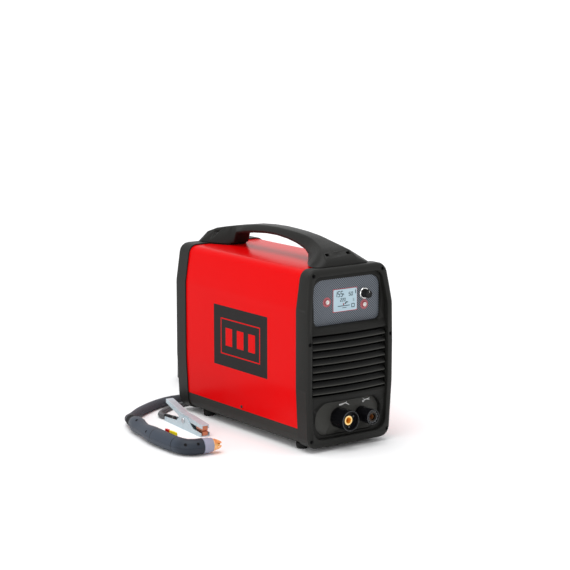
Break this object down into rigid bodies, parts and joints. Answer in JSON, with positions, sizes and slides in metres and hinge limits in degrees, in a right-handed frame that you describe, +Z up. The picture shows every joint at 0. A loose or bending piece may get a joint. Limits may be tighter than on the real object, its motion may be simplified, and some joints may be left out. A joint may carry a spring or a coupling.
{
  "type": "plasma cutter",
  "caption": "Portable inverter plasma cutter: red cover, moulded end frames and top handle, with its hand torch and its work clamp lying beside it on their leads.",
  "frame": {"origin": "centre of the base tray's flat underside, 10 mm above the floor that the rubber feet, the torch and the clamp rest on", "axes": "+Z up; -Y towards the operator, out of the front panel with the display and sockets; +X to the right as seen from the front"},
  "size_m": [0.5599, 0.7104, 0.37],
  "materials": {
    "anthracite_plastic": "fine-textured anthracite moulding",
    "red_paint": "glossy red powder coat",
    "grey_paint": "satin dark grey powder coat",
    "label_film": "printed slate blue film",
    "display_lens": "clear lens over a pale blue backlit display",
    "light_grey_plastic": "light grey ring around the knob",
    "button_plastic": "white moulded push button",
    "circuit_board": "green solder mask",
    "black_plastic": "black glass-filled plastic",
    "brass": "turned brass",
    "screw_steel": "zinc-plated steel",
    "black_rubber": "black rubber",
    "aluminium": "plain extruded or turned aluminium",
    "ferrite": "dark sintered ferrite",
    "copper": "bare copper",
    "torch_plastic": "slate blue moulded grip",
    "head_plastic": "grey heat-resistant moulding",
    "red_plastic": "red moulding",
    "yellow_plastic": "yellow moulding",
    "hose_sleeve": "dark woven hose sleeve",
    "cable_rubber": "grey rubber cable sheath",
    "zinc_plate": "bright zinc-plated pressed steel"
  },
  "bodies": {
    "machine": {"front_bezel": "anthracite_plastic", "rear_bezel": "anthracite_plastic", "top_cover": "red_paint", "base_tray": "grey_paint", "front_panel": "anthracite_plastic", "control_label": "label_film", "display": "display_lens", "knob_collar": "light_grey_plastic", "control_board": "circuit_board", "torch_socket": "black_plastic", "torch_contact": "brass", "clamp_socket": "black_plastic", "clamp_contact": "brass", "front_screw_1": "screw_steel", "front_screw_2": "screw_steel", "front_screw_3": "screw_steel", "front_screw_4": "screw_steel", "front_screw_5": "screw_steel", "front_screw_6": "screw_steel", "foot_1": "black_rubber", "foot_2": "black_rubber", "foot_3": "black_rubber", "foot_4": "black_rubber", "rear_panel": "grey_paint", "fan_frame": "black_plastic", "mains_switch": "black_plastic", "cable_gland": "black_plastic", "air_inlet": "brass", "handle": "anthracite_plastic", "heatsink": "aluminium", "power_board": "circuit_board", "capacitor_1": "black_plastic", "capacitor_2": "black_plastic", "transformer_core": "ferrite", "transformer_winding": "copper", "air_valve": "aluminium"},
    "knob": {"encoder_knob": "black_plastic"},
    "left_button": {"button_left": "button_plastic"},
    "right_button": {"button_right": "button_plastic"},
    "fan": {"fan_rotor": "black_plastic"},
    "switch_knob": {"mains_switch_knob": "red_plastic"},
    "torch": {"torch_shell_upper": "torch_plastic", "torch_shell_lower": "torch_plastic", "torch_head": "head_plastic", "torch_nozzle": "copper", "hose_boot": "black_rubber", "hose_lead": "hose_sleeve", "hose_coil": "hose_sleeve", "torch_plug": "black_plastic"},
    "trigger": {"torch_trigger": "red_plastic"},
    "safety": {"trigger_safety": "yellow_plastic"},
    "clamp": {"clamp_lower_arm": "zinc_plate", "clamp_pivot": "screw_steel", "clamp_spring": "screw_steel", "jaw_lower": "copper", "clamp_cable": "cable_rubber", "cable_coil": "cable_rubber", "clamp_plug": "black_rubber"},
    "clamp_jaw": {"clamp_upper_arm": "zinc_plate", "jaw_upper": "copper"}
  },
  "joints": [
    {"name": "encoder_turn", "type": "hinge", "parent": "machine", "child": "knob", "pos_m": [0.0405, -0.192, 0.26], "axis": [0, 1, 0], "continuous": true},
    {"name": "button_left_press", "type": "slide", "parent": "machine", "child": "left_button", "axis": [0, 1, 0], "range_m": [0, 0.0012], "stiffness_N_per_m": 600, "springref_m": -0.0008},
    {"name": "button_right_press", "type": "slide", "parent": "machine", "child": "right_button", "axis": [0, 1, 0], "range_m": [0, 0.0012], "stiffness_N_per_m": 600, "springref_m": -0.0008},
    {"name": "fan_spin", "type": "hinge", "parent": "machine", "child": "fan", "pos_m": [0, 0.1785, 0.205], "axis": [0, 1, 0], "continuous": true},
    {"name": "mains_switch_turn", "type": "hinge", "parent": "machine", "child": "switch_knob", "pos_m": [-0.042, 0.2085, 0.088], "axis": [0, 1, 0], "range_deg": [0, 90]},
    {"name": "torch_lift_off", "type": "slide", "parent": "machine", "child": "torch", "axis": [0, 0, 1], "range_m": [0, 0.4]},
    {"name": "torch_trigger_press", "type": "hinge", "parent": "torch", "child": "trigger", "pos_m": [-0.2535, 0.0105, 0.005], "axis": [0, 0, -1], "range_deg": [0, 9], "stiffness_Nm_per_rad": 0.4, "springref_deg": -11.46},
    {"name": "trigger_safety_lift", "type": "hinge", "parent": "torch", "child": "safety", "pos_m": [-0.256, -0.0275, 0.005], "axis": [0, 0, -1], "range_deg": [0, 12], "stiffness_Nm_per_rad": 0.2, "springref_deg": -11.46},
    {"name": "clamp_lift_off", "type": "slide", "parent": "machine", "child": "clamp", "axis": [0, 0, 1], "range_m": [0, 0.4]},
    {"name": "clamp_open", "type": "hinge", "parent": "clamp", "child": "clamp_jaw", "pos_m": [-0.158, 0.0729, 0.0065], "axis": [-0.9952, 0.0981, 0], "range_deg": [0, 18], "stiffness_Nm_per_rad": 4, "springref_deg": -20.05}
  ]
}
